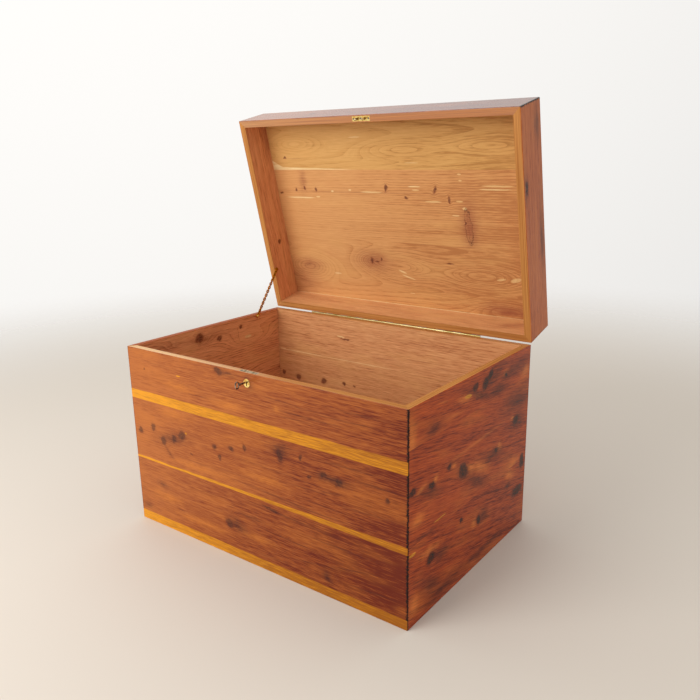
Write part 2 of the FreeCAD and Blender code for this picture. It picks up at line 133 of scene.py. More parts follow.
# %% Grid surfaces and the floor
FLOOR_REACH = 6.0
FLOOR_STEPS = 13
FLOOR_NEAR = 1.5
FLOOR_FAR = 4.2
FLOOR_PAINT = "#D8CFC3"
FLOOR_ROUGHNESS = 0.7


def grid_faces(rows, columns, wrap):
    """Quads between neighbours of a rows by columns grid; wrap joins the last row and column to the first."""
    row, column = np.meshgrid(np.arange(rows - (not wrap)), np.arange(columns - (not wrap)), indexing="ij")
    next_row, next_column = (row + 1) % rows, (column + 1) % columns
    corners = (row * columns + column, next_row * columns + column,
               next_row * columns + next_column, row * columns + next_column)
    return np.stack(corners, axis=-1).reshape(-1, 4)


def new_piece(name, points, faces, finish):
    """An object at the origin from an array of points and an array of quads, shaded smooth."""
    mesh = bpy.data.meshes.new(name)
    mesh.from_pydata(points.reshape(-1, 3).tolist(), [], faces.tolist())
    mesh.polygons.foreach_set("use_smooth", np.ones(len(mesh.polygons), dtype=bool))
    mesh.materials.append(finish)
    mesh.update()
    piece = bpy.data.objects.new(name, mesh)
    bpy.context.scene.collection.objects.link(piece)
    return piece


def pale_floor():
    """Matt painted board: warm and pale round the chest, and gone further out, where the sky takes over."""
    material, tree = new_finish("matt_pale_floor_paint")
    place = add(tree, "ShaderNodeTexCoord", out="Object")
    reach = add(tree, VECTOR, [place], out="Value", operation="LENGTH")
    far = add(tree, RANGE, [reach, FLOOR_NEAR, FLOOR_FAR, 0.0, 1.0], **SMOOTH)
    paint = add(tree, "ShaderNodeBsdfPrincipled", {"Base Color": ink(FLOOR_PAINT), "Roughness": FLOOR_ROUGHNESS})
    gone = add(tree, "ShaderNodeBsdfTransparent")
    add(tree, "ShaderNodeOutputMaterial", [add(tree, "ShaderNodeMixShader", [far, paint, gone])])
    return material


across = np.linspace(-FLOOR_REACH, FLOOR_REACH, FLOOR_STEPS)
floor_x, floor_y = np.meshgrid(across, across, indexing="ij")
floor_points = np.stack([floor_x, floor_y, np.zeros_like(floor_x)], axis=-1)
floor = new_piece("floor", floor_points, grid_faces(FLOOR_STEPS, FLOOR_STEPS, False), pale_floor())
print("floor", 2 * FLOOR_REACH, "metres square")

# %% [markdown]
# The light is bright and soft, and most of it comes from the front left, so the front of the chest grows darker to
# the right. Many lamps could give that, but two sources are easier to balance. A sky that is brightest to the left
# and a little behind gives soft light all round and a pale background, and one broad softbox near the front left
# corner gives the light its direction.

# %% Light
SKY_SIDE = (-0.75, 0.35, 0.56)
SKY_LOW = 0.40
SKY_HIGH = 1.04
SKY_WHITE = "#FFFDFA"
SOFTBOX_PLACE = (-1.0, -2.6, 1.8)
SOFTBOX_AIM = (-0.1, 0.1, 0.5)
SOFTBOX_SIZE = 2.0
SOFTBOX_WATTS = 60.0

world = bpy.data.worlds.new("bright_sky")
bpy.context.scene.world = world
world.use_nodes = True
sky = world.node_tree
sky.nodes.clear()
direction = add(sky, "ShaderNodeTexCoord", out="Generated")
side = add(sky, VECTOR, [direction, SKY_SIDE], out="Value", operation="DOT_PRODUCT")
level = add(sky, RANGE, [side, -1.0, 1.0, SKY_LOW, SKY_HIGH])
glow = add(sky, "ShaderNodeBackground", {"Color": ink(SKY_WHITE), "Strength": level})
add(sky, "ShaderNodeOutputWorld", [glow])

softbox_data = bpy.data.lights.new("softbox", "AREA")
softbox_data.size = SOFTBOX_SIZE
softbox_data.energy = SOFTBOX_WATTS
softbox = bpy.data.objects.new("softbox", softbox_data)
softbox.location = SOFTBOX_PLACE
softbox.rotation_euler = (Vector(SOFTBOX_AIM) - Vector(SOFTBOX_PLACE)).to_track_quat("-Z", "Y").to_euler()
softbox.visible_camera = False
bpy.context.scene.collection.objects.link(softbox)
print("sky from", SKY_LOW, "to", SKY_HIGH, "with a softbox of", SOFTBOX_WATTS, "watts")

# %% [markdown]
# Wood is a solid, so its figure has to run through the board. Each board reads the place of a point with the lid
# shut, in millimetres, as a distance along the grain, a distance across it and a depth. A lid board is stored open,
# so its place is first turned back about the hinge pin.

# %% Where each board's grain runs
MM = 1000.0
hinge = joints["lid_hinge"]
pin_y, pin_z = hinge["pos_m"][1:]
lid_swing = math.radians(hinge["range_deg"][1])
# axis along the grain, axis across it, axis of depth, and the side of the depth axis that faces out
WALLS = {"front": (0, 2, 1, -1), "right": (1, 2, 0, 1), "back": (0, 2, 1, 1), "left": (1, 2, 0, -1),
         "top": (0, 1, 2, 1), "bottom": (0, 1, 2, -1)}


def closing(node):
    """The turn about X, and the shift after it, that carry a lid node from open to shut; nothing for the base."""
    turn = lid_swing if node in bodies["lid"] else 0.0
    turned_y = pin_y * math.cos(turn) - pin_z * math.sin(turn)
    turned_z = pin_y * math.sin(turn) + pin_z * math.cos(turn)
    return turn, (0.0, pin_y - turned_y, pin_z - turned_z)


def shut_box(node):
    """Lowest and highest corner, in millimetres, of a node as it lies with the lid shut."""
    turn, shift = closing(node)
    mesh = frame["nodes"][node].data
    points = np.empty(len(mesh.vertices) * 3)
    mesh.vertices.foreach_get("co", points)
    x, y, z = points.reshape(-1, 3).T
    y, z = y * math.cos(turn) - z * math.sin(turn), y * math.sin(turn) + z * math.cos(turn)
    points = (np.stack([x, y, z], axis=1) + shift) * MM
    return points.min(axis=0), points.max(axis=0)


print("the lid's front rail lies shut at", [corner.round(1).tolist() for corner in shut_box("lid_front_rail")])

# %% [markdown]
# What makes this chest itself is where its knots, pale sapwood edges and figured eyes lie. They could be scattered
# by chance, but then it would be another chest, so each board has a list of its own, in millimetres along and across
# the grain. A knot has a half length, a half breadth and a turn in degrees, and so has each of these: a fleck, a
# sliver of pale sapwood; a glow, a soft amber patch; a cloud, a dark stain, or a dark line where it is thin; and a
# scar, an oval of bark. An eye is a hill in the growth rings that the saw cut through, which shows as nested ovals,
# and its last number is the hill's height. A sapwood edge is a straight line, given by its place at each end.
#
# Shade makes a whole board deeper, or paler below 0. Painted shade right is how much deeper its tone grows toward
# its right end, a painted shade for light that falls from the left and weakens to the right, and drift is how many
# degrees its grain runs down to the right. The front comes first, with its three sapwood edges.

# %% Features of the front boards
FEATURES = {
    "front_board_upper": {
        "knots": [(-98, 499, 13, 8, -8), (-384, 456, 3, 3, 0)],
        "flecks": [(-248, 460, 8, 2, 0)],
        "eyes": [(90, 437, 70, 18, 14), (-300, 420, 90, 16, 8)],
        # the cloud at 1, 487 is a painted shadow round the brass escutcheon
        "clouds": [(-66, 497, 34, 7, 0), (1, 487, 12.5, 14.5, 0), (95, 461, 45, 1.6, -2), (160, 456, 60, 1.2, 1),
                   (150, 438, 75, 1.8, 0), (215, 436, 60, 1.6, 2), (140, 425, 60, 1.4, 0), (290, 452, 90, 1.5, 1),
                   (20, 496, 22, 2.5, 8), (-230, 441, 60, 1.2, 0), (-330, 478, 50, 1.4, -2),
                   (330, 474, 80, 1.6, 0), (-160, 421, 60, 1.2, 2)],
        "glows": [(-70, 417, 60, 12, 0), (-250, 430, 60, 10, 0), (92, 440, 10, 9, 0)],
        "sap_below": [(393, 397)],
        "shade": -0.06,
        "lean": 0.36,
    },
    "front_board_middle": {
        "knots": [(-424, 275, 7, 7, 0), (-368, 294, 8, 10, 0), (-328, 265, 10, 11, 10), (-284, 281, 9, 10, 10),
                  (-251, 295, 12, 11, 20), (-130, 295, 8, 6, 0), (-68, 303, 8, 6, 0), (-23, 316, 5, 8, 25),
                  (-112, 270, 6, 6, 0), (95, 323, 8, 16, 8), (-219, 251, 5, 3, 0), (158, 336, 4, 6, 0),
                  (182, 295, 5, 4, 0), (227, 309, 10, 7, 0), (270, 302, 12, 8, 15), (397, 294, 5, 5, 0)],
        "flecks": [(-235, 305, 4, 3, 0)],
        "eyes": [(240, 240, 150, 20, 10)],
        "clouds": [(-290, 277, 60, 16, 12), (250, 305, 45, 9, 0), (70, 216, 130, 2.4, -2.6),
                   (175, 208, 130, 2.2, 0.5), (-310, 237, 24, 6, -45), (96, 338, 26, 18, 0),
                   (245, 271, 30, 2.0, 6), (50, 282, 140, 1.2, -1.5), (170, 262, 70, 1.2, 2),
                   (330, 250, 80, 1.6, 2), (-180, 232, 90, 1.4, -1), (-60, 238, 60, 1.2, 0),
                   (220, 232, 60, 1.4, -2), (300, 345, 90, 2.0, 1), (380, 320, 60, 2.0, 0), (110, 350, 60, 2.0, 0)],
        "glows": [(-280, 350, 60, 14, 0), (-190, 218, 90, 8, 0), (40, 250, 70, 9, 0)],
        "sap_below": [(197, 201)],
        "lean": 0.44,
    },
    "front_board_lower": {
        "knots": [(-90, 91, 12, 9, -10), (57, 175, 24, 2.5, -6)],
        "eyes": [(-250, 120, 130, 25, 12), (180, 95, 160, 28, 14)],
        "clouds": [(-348, 129, 20, 9, 0), (-424, 45, 18, 9, 0), (-60, 96, 28, 16, -20), (130, 169, 120, 2.4, -2),
                   (-12, 132, 40, 5, 0), (230, 52, 12, 14, 30), (-275, 72, 14, 2.0, -8), (-180, 154, 40, 1.4, 3),
                   (200, 75, 70, 1.8, 8), (300, 95, 60, 1.8, 10), (60, 42, 60, 1.6, 2), (260, 140, 110, 1.8, 0),
                   (120, 110, 90, 1.6, -2), (360, 60, 60, 2.2, 4)],
        "glows": [(-330, 96, 60, 12, 0), (10, 80, 50, 10, 0), (-200, 60, 90, 10, 0)],
        "sap_below": [(28, 26)],
        "sap_above": [(198, 184)],
        "shade": 0.14,
        "lean": 0.42,
    },
}
print("boards listed so far", len(FEATURES))

# %% [markdown]
# The right wall is knotty, and its grain runs down to the right. Glows lie beside the knots, where the grain swells
# round them, and dark clouds lie on the other side.

# %% Features of the right boards
FEATURES |= {
    "right_board_upper": {
        "knots": [(40, 474, 18, 13, 20), (64, 488, 16, 9, 35), (-12, 478, 13, 9, 0), (152, 468, 8, 5, 0)],
        "flecks": [(-47, 467, 17, 4.5, -6)],
        "glows": [(-60, 466, 30, 8, -6), (-110, 441, 34, 3.5, -3), (150, 472, 12, 6, 20), (272, 448, 26, 13, 10),
                  (-4, 458, 26, 5, -20), (-290, 445, 20, 40, 0), (-160, 486, 20, 2.5, -8)],
        "clouds": [(-200, 436, 34, 16, 0), (90, 482, 60, 22, 20), (20, 452, 90, 10, -20), (110, 440, 60, 22, 0),
                   (200, 470, 90, 20, 0)],
        "shade": 0.05,
        "drift": 6.0,
    },
    "right_board_middle": {
        "knots": [(223, 327, 14, 11, 0), (112, 279, 10, 6, -10), (-129, 324, 9, 8, 0), (-62, 290, 22, 16, -35),
                  (-207, 309, 12, 8, -25), (-287, 322, 14, 7, 0), (275, 190, 11, 19, 0)],
        "flecks": [(-168, 214, 28, 1.8, 0)],
        "glows": [(-22, 282, 26, 9, -20), (130, 284, 10, 10, 0), (-188, 318, 12, 8, 30), (-250, 316, 18, 6, 10),
                  (-107, 318, 10, 7, 0), (205, 335, 9, 6, 0), (30, 265, 44, 14, -25), (215, 200, 34, 20, 0),
                  (-264, 250, 26, 14, 0), (0, 338, 120, 4, 2)],
        "clouds": [(5, 238, 60, 16, -25), (-215, 296, 50, 12, -15), (240, 318, 40, 20, 0), (100, 272, 50, 14, -10),
                   (-235, 197, 60, 9, 0), (230, 380, 90, 30, 0)],
        "shade": 0.12,
        "drift": 11.0,
    },
    "right_board_lower": {
        "knots": [(26, 124, 9, 11, 20), (-66, 163, 6, 5, 0), (-206, 132, 15, 12, 10), (254, 112, 28, 12, 0),
                  (275, 190, 11, 16, 0)],
        "flecks": [(-284, 177, 14, 4, 0)],
        "glows": [(2, 126, 12, 11, 0), (-212, 154, 40, 9, 0), (156, 194, 16, 3, 0), (-276, 52, 22, 24, 0),
                  (200, 180, 30, 14, -20)],
        "clouds": [(-162, 122, 34, 20, 0), (54, 128, 26, 18, 0), (-150, 26, 90, 16, 0), (190, 150, 18, 8, 0),
                   (-200, 62, 60, 22, -30), (60, 30, 120, 10, 0)],
        "shade": 0.18,
        "drift": 13.0,
    },
}
print("boards listed so far", len(FEATURES))

# %% [markdown]
# Of the back and left walls the bare inside shows most, and there the light picks out every line. Rings is the width
# of a growth ring, and it is given where the saw met the rings so flat that they show as broad lines, as on the left.

# %% Features of the back and left boards
FEATURES |= {
    "back_board_upper": {
        "knots": [(-150, 446, 18, 2, -4), (330, 400, 9, 8, 0)],
        "flecks": [(-168, 452, 15, 2, -4), (-412, 379, 14, 1.5, 0), (-330, 377, 90, 1.0, 0),
                   (-110, 377, 140, 0.7, 0)],
        "eyes": [(-300, 470, 120, 18, 10), (160, 410, 170, 16, 10)],
        "clouds": [(-371, 486, 32, 1.8, -2), (-312, 472, 30, 1.6, -3), (-245, 462, 40, 1.8, -2),
                   (-288, 419, 50, 1.4, 0), (324, 504, 18, 2.2, 0), (-46, 434, 12, 1.8, 0), (2, 405, 40, 1.6, 2),
                   (142, 418, 60, 1.8, 2), (208, 405, 50, 1.6, 2), (107, 467, 60, 1.4, 1), (-395, 388, 30, 2.0, 0)],
    },
    "back_board_middle": {
        "knots": [(-413, 296, 6, 8, 0), (-347, 289, 9, 9, 0), (-240, 293, 10, 8, 20), (-158, 298, 6, 5, 0),
                  (-117, 299, 5, 3, 0), (90, 250, 12, 10, 0), (260, 320, 8, 7, 0)],
        "eyes": [(120, 330, 180, 14, 8)],
    },
    "back_board_lower": {"knots": [(-220, 110, 13, 10, 0), (310, 70, 10, 8, 0), (60, 140, 6, 5, 0)]},
    "left_board_upper": {
        "knots": [(109, 483, 7, 6, 0), (16, 468, 9, 6, 0), (-62, 484, 13, 12, 0), (-200, 450, 8, 7, 0)],
        "flecks": [(139, 448, 15, 4.5, 0)],
        "eyes": [(150, 430, 125, 42, 58), (-150, 474, 60, 20, 26), (-62, 470, 50, 22, 24)],
        "clouds": [(-40, 478, 60, 16, 0), (-200, 482, 60, 14, 0)],
        "rings": 7.0,
        "shade": -0.08,
    },
    "left_board_middle": {
        "knots": [(-110, 330, 12, 10, 0), (180, 260, 16, 13, 0)],
        "eyes": [(60, 330, 120, 26, 20)],
        "rings": 7.0,
    },
    "left_board_lower": {"knots": [(120, 90, 14, 12, 0), (-190, 130, 10, 9, 0)]},
}
print("boards listed so far", len(FEATURES))

# %% [markdown]
# The lid's panel is the most figured wood of the chest, with large eyes and a seam of slivers and small knots along
# it. Pith is where the middle of the tree lies across a board, and how deep; other boards get a usual place for it.
# Wood names another set of colours than the wall's own, and polish is the stronger gloss of the rail that hands lift.

# %% Features of the lid's boards
FEATURES |= {
    "lid_top_board_front": {
        "knots": [(-375, -169, 5, 2.5, 0)],
        "flecks": [(83, -152, 22, 1.2, 0), (-100, -226, 20, 1.0, 0)],
        "eyes": [(-331, -211, 90, 24, 26), (51, -190, 130, 24, 22), (319, -196, 120, 22, 24)],
        "clouds": [(-346, -167, 40, 1.5, 0)],
        "sap_above": [(-167, 299), (-142, -118)],
        "pith": (-205, 190),
        "rings": 5.2,
        "lean": 0.3,
        "wood": "crown",
    },
    "lid_top_board_middle": {
        "knots": [(-417, -61, 6, 3, 0), (-352, -72, 4, 4, 0), (-317, -76, 3.5, 7, 0), (-272, -72, 3.5, 5, 0),
                  (-13, -80, 4, 9, 10), (149, -78, 4, 10, 15), (52, -54, 6, 3, 20), (191, -50, 3.5, 8, -10),
                  (234, 16, 3, 5, 0)],
        "flecks": [(-209, -68, 5, 2.5, 0), (-142, -73, 5, 2.5, 0), (-340, -46, 56, 2.2, 0), (-66, -67.5, 38, 2, 0),
                   (83, -86, 20, 2, 0), (87, -76, 12, 2, 0), (336, -90, 46, 2.3, 0), (329, -81, 45, 2.2, 0),
                   (140, -44, 26, 2, 0), (222, -47, 11, 2, 0), (227, -121, 6, 2, 0), (229, -104, 5, 2, 0),
                   (207, -7, 11, 2, 0), (236, -27, 7, 4, 0), (-268, -50, 8, 2, 0)],
        "clouds": [(-318, -100, 13, 30, 8), (246, 22, 24, 62, 0), (-160, -66, 260, 2, 0)],
        "scars": [(244, 23, 11, 49, -4), (247, 25, 5, 42, -3)],
        "rings": 6.4,
        "shade": 0.04,
        "lean": 0.38,
    },
    "lid_top_board_rear": {
        "knots": [(174, 136, 9, 2.5, 0), (-98, 144, 4, 9, 10), (-80, 148, 9, 2.5, -8), (-355, 180, 10, 1.5, 0),
                  (-62, 140, 3, 5, 0)],
        "flecks": [(331, 170, 14, 3, -10), (373, 168, 16, 6, -15), (36, 241, 9, 1.5, 0), (10, 174, 14, 2.5, 20),
                   (30, 190, 24, 2, 15), (-240, 200, 14, 1.5, 0)],
        "eyes": [(0, 158, 110, 40, 62), (-355, 182, 100, 44, 58), (-95, 146, 60, 26, 28), (270, 165, 150, 40, 60),
                 (340, 262, 100, 26, 26)],
        "clouds": [(244, 83, 30, 1.2, -2), (345, 262, 80, 20, 0), (-90, 146, 60, 30, 0), (-400, 240, 70, 60, 0),
                   (-350, 180, 50, 24, 0)],
        "pith": (170, 230),
        "rings": 5.6,
        "shade": 0.06,
        "lean": 0.36,
    },
    "lid_front_rail": {
        "knots": [(-210, 570, 9, 8, 0), (280, 590, 7, 6, 0)],
        "shade": 0.2,
        "lean": 0.3,
        "polish": 1.0,
    },
    "lid_right_rail": {
        "knots": [(-108, 527, 14, 7, 0)],
        "clouds": [(-245, 600, 40, 14, 0), (-108, 522, 40, 8, 0), (40, 606, 90, 10, 0)],
        "wood": "lid_side",
    },
    "lid_back_rail": {"clouds": [(380, 560, 40, 12, 20)], "flecks": [(0, 602, 440, 5.0, 0)], "shade": -0.22},
    "lid_left_rail": {"knots": [(90, 560, 7, 6, 0)], "clouds": [(-240, 590, 60, 12, 0)]},
}
print("boards with features", len(FEATURES), "knots", sum(len(f.get("knots", ())) for f in FEATURES.values()))

# %% [markdown]
# Red cedar heartwood runs from orange to purple brown, with thin dark late wood, and its sapwood is cream. The
# varnish outside makes all of it deeper and glossy, and sapwood golden. Inside it is bare, paler and matt. The sawn
# and sanded rims lie between the two. Each wall has its own set of colours, because boards of one tree differ. The
# right wall lies in shade, and its amber and sapwood are painted brighter there, painted light that lifts them. A
# set has a pale, a deep and a dark tone, and each of these is a pair, the varnished colour and the bare one. A rim's
# pair is its pale and its deep bands.

# %% Colours of the wood
WOOD = {
    "front": (("#B2642A", "#D89C66"), ("#722202", "#BF7C4A"), ("#561806", "#96552F")),
    "right": (("#D05C20", "#D89C66"), ("#86290A", "#BF7C4A"), ("#401006", "#96552F")),
    "lid_side": (("#D0783C", "#D89C66"), ("#A64C20", "#BF7C4A"), ("#5A2010", "#96552F")),
    "back": (("#BA6023", "#E0A46E"), ("#934018", "#B87444"), ("#60220F", "#8C4C2A")),
    "left": (("#B65A20", "#F6B682"), ("#8E3C16", "#CC8052"), ("#5A1F10", "#924E30")),
    "top": (("#BA6023", "#DEA468"), ("#934018", "#CB8C52"), ("#60220F", "#A9683A")),
    "crown": (("#BA6023", "#DEAC68"), ("#934018", "#C8924E"), ("#60220F", "#A67038")),
    "bottom": (("#C98A58", "#CE925E"), ("#A9673A", "#B4733F"), ("#7A4426", "#8E512B")),
}
AMBER = ("#C8752A", "#E0AC66")
# brighter amber and sapwood for the right wall, which lies in shade: painted light
PAINTED_LIGHT_AMBER = ("#F08C3A", "#E0AC66")
SAPWOOD = ("#E09414", "#F6DCA4")
PAINTED_LIGHT_SAPWOOD = ("#FFB436", "#F6DCA4")
SAPWOOD_LINES = ("#985608", "#E2B676")
KNOT_RING = ("#552214", "#94512F")
KNOT_HEART = ("#1E0E0B", "#5E3122")
CLOUD = ("#42160F", "#9A5638")
RIM = ("#CF9150", "#A4652E")
# a paler rim colour, a painted highlight for the left end of the front rim where the light falls
PAINTED_HIGHLIGHT_RIM = ("#FAD196", "#D7A96D")
DEEP_RIM = ("#BE721E", "#9A540A")
STAINED_RIM = ("#B45A14", "#8E3E04")
CORNER_DIRT = "#160805"
print("colour sets for", ", ".join(WOOD))

# %% [markdown]
# The figure of a board is a slice through growth rings. A picture of wood could be laid on each face, but it would
# break at every edge, so the rings are worked out in the solid. The ring a point lies in is its distance from the
# pith, the middle of the tree, which runs nearly along the board. Slow noise bends the tree, knots push the rings
# aside, and eyes lift them.

# %% Growth rings
# length and breadth of a pattern in millimetres, and how many finer layers of noise it has
BEND = (420.0, 110.0, 2.0)
RIPPLE = (75.0, 17.0, 3.0)
# how many millimetres each of them moves a ring
BEND_SIZE = 16.0
RIPPLE_SIZE = 5.0
# longer than any board is thick, so that an oval reaches right through
THROUGH = 1.0e5
# how many half breadths a knot pushes the rings, and what is left of a push or a hill at the edge of its oval
KNOT_PUSH = 0.95
KNOT_FADE = 0.72
EYE_FADE = 0.37
# how fast the pith sinks along a board
PITH_TILT = 0.02


def spots(tree, grain, places):
    """For each oval place, the point's offset in half lengths and half breadths, and the squared offset."""
    for along, across, half_length, half_breadth, turn in places:
        local = add(tree, "ShaderNodeMapping",
                    [grain, (along, across, 0.0), (0.0, 0.0, math.radians(turn)),
                     (half_length, half_breadth, THROUGH)], vector_type="TEXTURE")
        yield local, add(tree, VECTOR, [local, local], out="Value", operation="DOT_PRODUCT"), half_breadth


def nearest_spot(tree, grain, places):
    """The least squared offset from any of the places; a large number where there are none."""
    nearest = THROUGH
    for _, reach, _ in spots(tree, grain, places):
        nearest = add(tree, MATH, [nearest, reach], operation="MINIMUM")
    return nearest


def noise_along(tree, grain, seed, length, breadth, detail):
    """Noise stretched along the grain: one blotch is about length by breadth millimetres."""
    where = add(tree, VECTOR, [grain, (1 / length, 1 / breadth, 1 / breadth), (seed, -seed, seed)],
                operation="MULTIPLY_ADD")
    return add(tree, NOISE, {"Vector": where, "Scale": 1.0, "Detail": detail})


def ring_number(tree, grain, flow, features, pith, ripple, seed):
    """Distance from the pith in millimetres, bent by noise, pushed aside by knots and lifted by eyes."""
    along, across = add(tree, "ShaderNodeSeparateXYZ", [flow]).node.outputs[:2]
    bend = noise_along(tree, flow, seed, *BEND)
    moved = add(tree, MATH, [bend, BEND_SIZE, across], operation="MULTIPLY_ADD")
    moved = add(tree, MATH, [ripple, RIPPLE_SIZE, moved], operation="MULTIPLY_ADD")
    for local, reach, half_breadth in spots(tree, grain, features.get("knots", ())):
        swell = add(tree, MATH, [KNOT_FADE, reach], operation="POWER")
        push = add(tree, VECTOR, [local, (0.0, -KNOT_PUSH * half_breadth, 0.0)], out="Value",
                   operation="DOT_PRODUCT")
        moved = add(tree, MATH, [push, swell, moved], operation="MULTIPLY_ADD")
    aside = add(tree, MATH, [moved, pith[0]], operation="SUBTRACT")
    depth = add(tree, MATH, [along, PITH_TILT, pith[1]], operation="MULTIPLY_ADD")
    ring = add(tree, VECTOR, [add(tree, "ShaderNodeCombineXYZ", [aside, depth, 0.0])], out="Value",
               operation="LENGTH")
    eyes = features.get("eyes", ())
    for (_, reach, _), eye in zip(spots(tree, grain, [(*eye[:4], 0.0) for eye in eyes]), eyes):
        hill = add(tree, MATH, [EYE_FADE, reach], operation="POWER")
        ring = add(tree, MATH, [hill, eye[4], ring], operation="MULTIPLY_ADD")
    return ring


print("rings bend over", BEND[0], "mm and ripple over", RIPPLE[0], "mm")

# %% [markdown]
# From the ring number comes the tone of the wood, from pale early wood to deep streaks. Straight boards show mostly
# short dashes and fibres, and figured boards show the rings as lines. A broad patch of amber here and there keeps a
# board from looking printed.

# %% Wood without its features
# length and breadth of the patterns in millimetres, as for the rings
STREAK = (900.0, 12.0)
STREAK_DETAIL = 6.0
STREAK_ROUGHNESS = 0.85
# real fibres are finer than a tenth of a millimetre: they are drawn coarser here, as lines and dashes that show
FIBRE = (30.0, 1.8, 2.0)
DASH = (90.0, 3.4, 3.0)
PATCH = (190.0, 55.0, 2.0)
PATCH_SEED = 5.0
STREAK_SHARE, DASH_SHARE, FIBRE_SHARE, PATCH_SHARE = 1.5, 0.75, 1.1, 0.36
# contrast of broad streaks and patches, and of fine dashes and fibres
CONTRAST = {"front": (0.85, 1.3), "right": (1.1, 1.25), "back": (1.1, 1.4), "left": (1.35, 1.35)}
PLAIN_CONTRAST = (1.0, 1.0)
# millimetres between late wood lines, and how dark these are on plain and on figured boards
RING_WIDTH = 3.4
RING_DARK = 0.12
FIGURE_DARK = 0.42
# the power that makes late wood a thin line at the end of a ring, and how deep that line lies below the fibres
LATE_POWER = 3.0
LATE_RELIEF = -0.5
MEAN_TONE = 0.44
# tones at which dark lines start and are strongest, and patches at which amber starts and is strongest
DARK_LINES = (0.65, 1.05, 0.0, 0.6)
AMBER_PATCHES = (0.52, 0.3, 0.0, 0.2)


def two_sides(tree, bare, pair):
    """The varnished colour of a pair outside and its bare colour inside."""
    return add(tree, MIX, {0: bare, 6: ink(pair[0]), 7: ink(pair[1])}, **COLOUR)


def plain_wood(tree, grain, bare, ring, wall, features, half_length, seed):
    """Colour of heartwood, its tone from 0 pale to 1 deep, and a height for the fibres."""
    along = add(tree, "ShaderNodeSeparateXYZ", [grain])
    where = add(tree, "ShaderNodeCombineXYZ",
                [add(tree, MATH, [along, STREAK[0]], operation="DIVIDE"),
                 add(tree, MATH, [ring, STREAK[1]], operation="DIVIDE"), seed])
    streak = add(tree, NOISE, {"Vector": where, "Scale": 1.0, "Detail": STREAK_DETAIL,
                               "Roughness": STREAK_ROUGHNESS})
    late = add(tree, MATH, [ring, features.get("rings", RING_WIDTH)], operation="DIVIDE")
    late = add(tree, MATH, [late], operation="FRACT")
    late = add(tree, MATH, [late, LATE_POWER], operation="POWER")
    fibre = noise_along(tree, grain, seed, *FIBRE)
    dash = noise_along(tree, grain, seed, *DASH)
    patch = noise_along(tree, grain, seed + PATCH_SEED, *PATCH)
    # painted shade: the tone deepens toward a board's right end, where less light falls from the left
    tone = add(tree, MATH, [along, features.get("lean", 0.0) / half_length, MEAN_TONE + features.get("shade", 0.0)],
               operation="MULTIPLY_ADD")
    tone = add(tree, MATH, [late, FIGURE_DARK if "rings" in features else RING_DARK, tone], operation="MULTIPLY_ADD")
    broad, fine = CONTRAST.get(wall, PLAIN_CONTRAST)
    for share, layer in ((STREAK_SHARE * broad, streak), (DASH_SHARE * fine, dash), (FIBRE_SHARE * fine, fibre),
                         (PATCH_SHARE * broad, patch)):
        tone = add(tree, MATH, [layer, share, tone], operation="MULTIPLY_ADD")
        tone = add(tree, MATH, [tone, share / 2], operation="SUBTRACT")
    tone = add(tree, RANGE, [tone, 0.0, 1.0, 0.0, 1.0])
    pale, deep, dark = (two_sides(tree, bare, pair) for pair in WOOD[features.get("wood", wall)])
    wood = add(tree, MIX, {0: tone, 6: pale, 7: deep}, **COLOUR)
    lines = add(tree, RANGE, [tone, *DARK_LINES], **SMOOTH)
    wood = add(tree, MIX, {0: lines, 6: wood, 7: dark}, **COLOUR)
    amber = add(tree, RANGE, [patch, *AMBER_PATCHES], **SMOOTH)
    wood = add(tree, MIX, {0: amber, 6: wood, 7: two_sides(tree, bare, AMBER)}, **COLOUR)
    return wood, tone, add(tree, MATH, [late, LATE_RELIEF, fibre], operation="MULTIPLY_ADD")


print("streaks", STREAK[1], "mm broad, fibres", FIBRE[1], "mm, late wood lines", RING_WIDTH, "mm apart")

# %% [markdown]
# Over the plain wood come glows, clouds, sapwood, flecks, knots and scars, in that order. Their outlines are read at
# a place that noise has pushed a few millimetres, because nothing in a tree has a clean edge. Glows show most on
# pale wood and clouds most on deep wood, so a stain also follows the tone beneath it.

# %% Stains and sapwood over the wood
# millimetres over which a sapwood edge blends, and the half breadth below which a stain counts as a line
EDGE_SOFT = 1.2
THIN_MM = 6.0
THIN_SHARE = 0.6
# squared offsets at which a fleck starts and is strongest
FLECK_EDGE = (1.3, 0.6, 0.0, 0.85)


def lay_soft(tree, wood, places, pair, strength, ragged, smooth, bare, tone):
    """Stains of one colour pair, as strong as strength[0] times the tone plus strength[1]; thin ones are fainter."""
    stain = 0.0
    for where, thin in ((ragged, False), (smooth, True)):
        for _, reach, _ in spots(tree, where, [place for place in places if (place[3] < THIN_MM) == thin]):
            fade = add(tree, MATH, [EYE_FADE, reach], operation="POWER")
            fade = add(tree, MATH, [fade, THIN_SHARE if thin else 1.0], operation="MULTIPLY")
            stain = add(tree, MATH, [stain, fade], operation="MAXIMUM")
    depth = add(tree, MATH, [tone, *strength], operation="MULTIPLY_ADD")
    stain = add(tree, MATH, [stain, depth], operation="MULTIPLY")
    return add(tree, MIX, {0: stain, 6: wood, 7: two_sides(tree, bare, pair)}, **COLOUR)


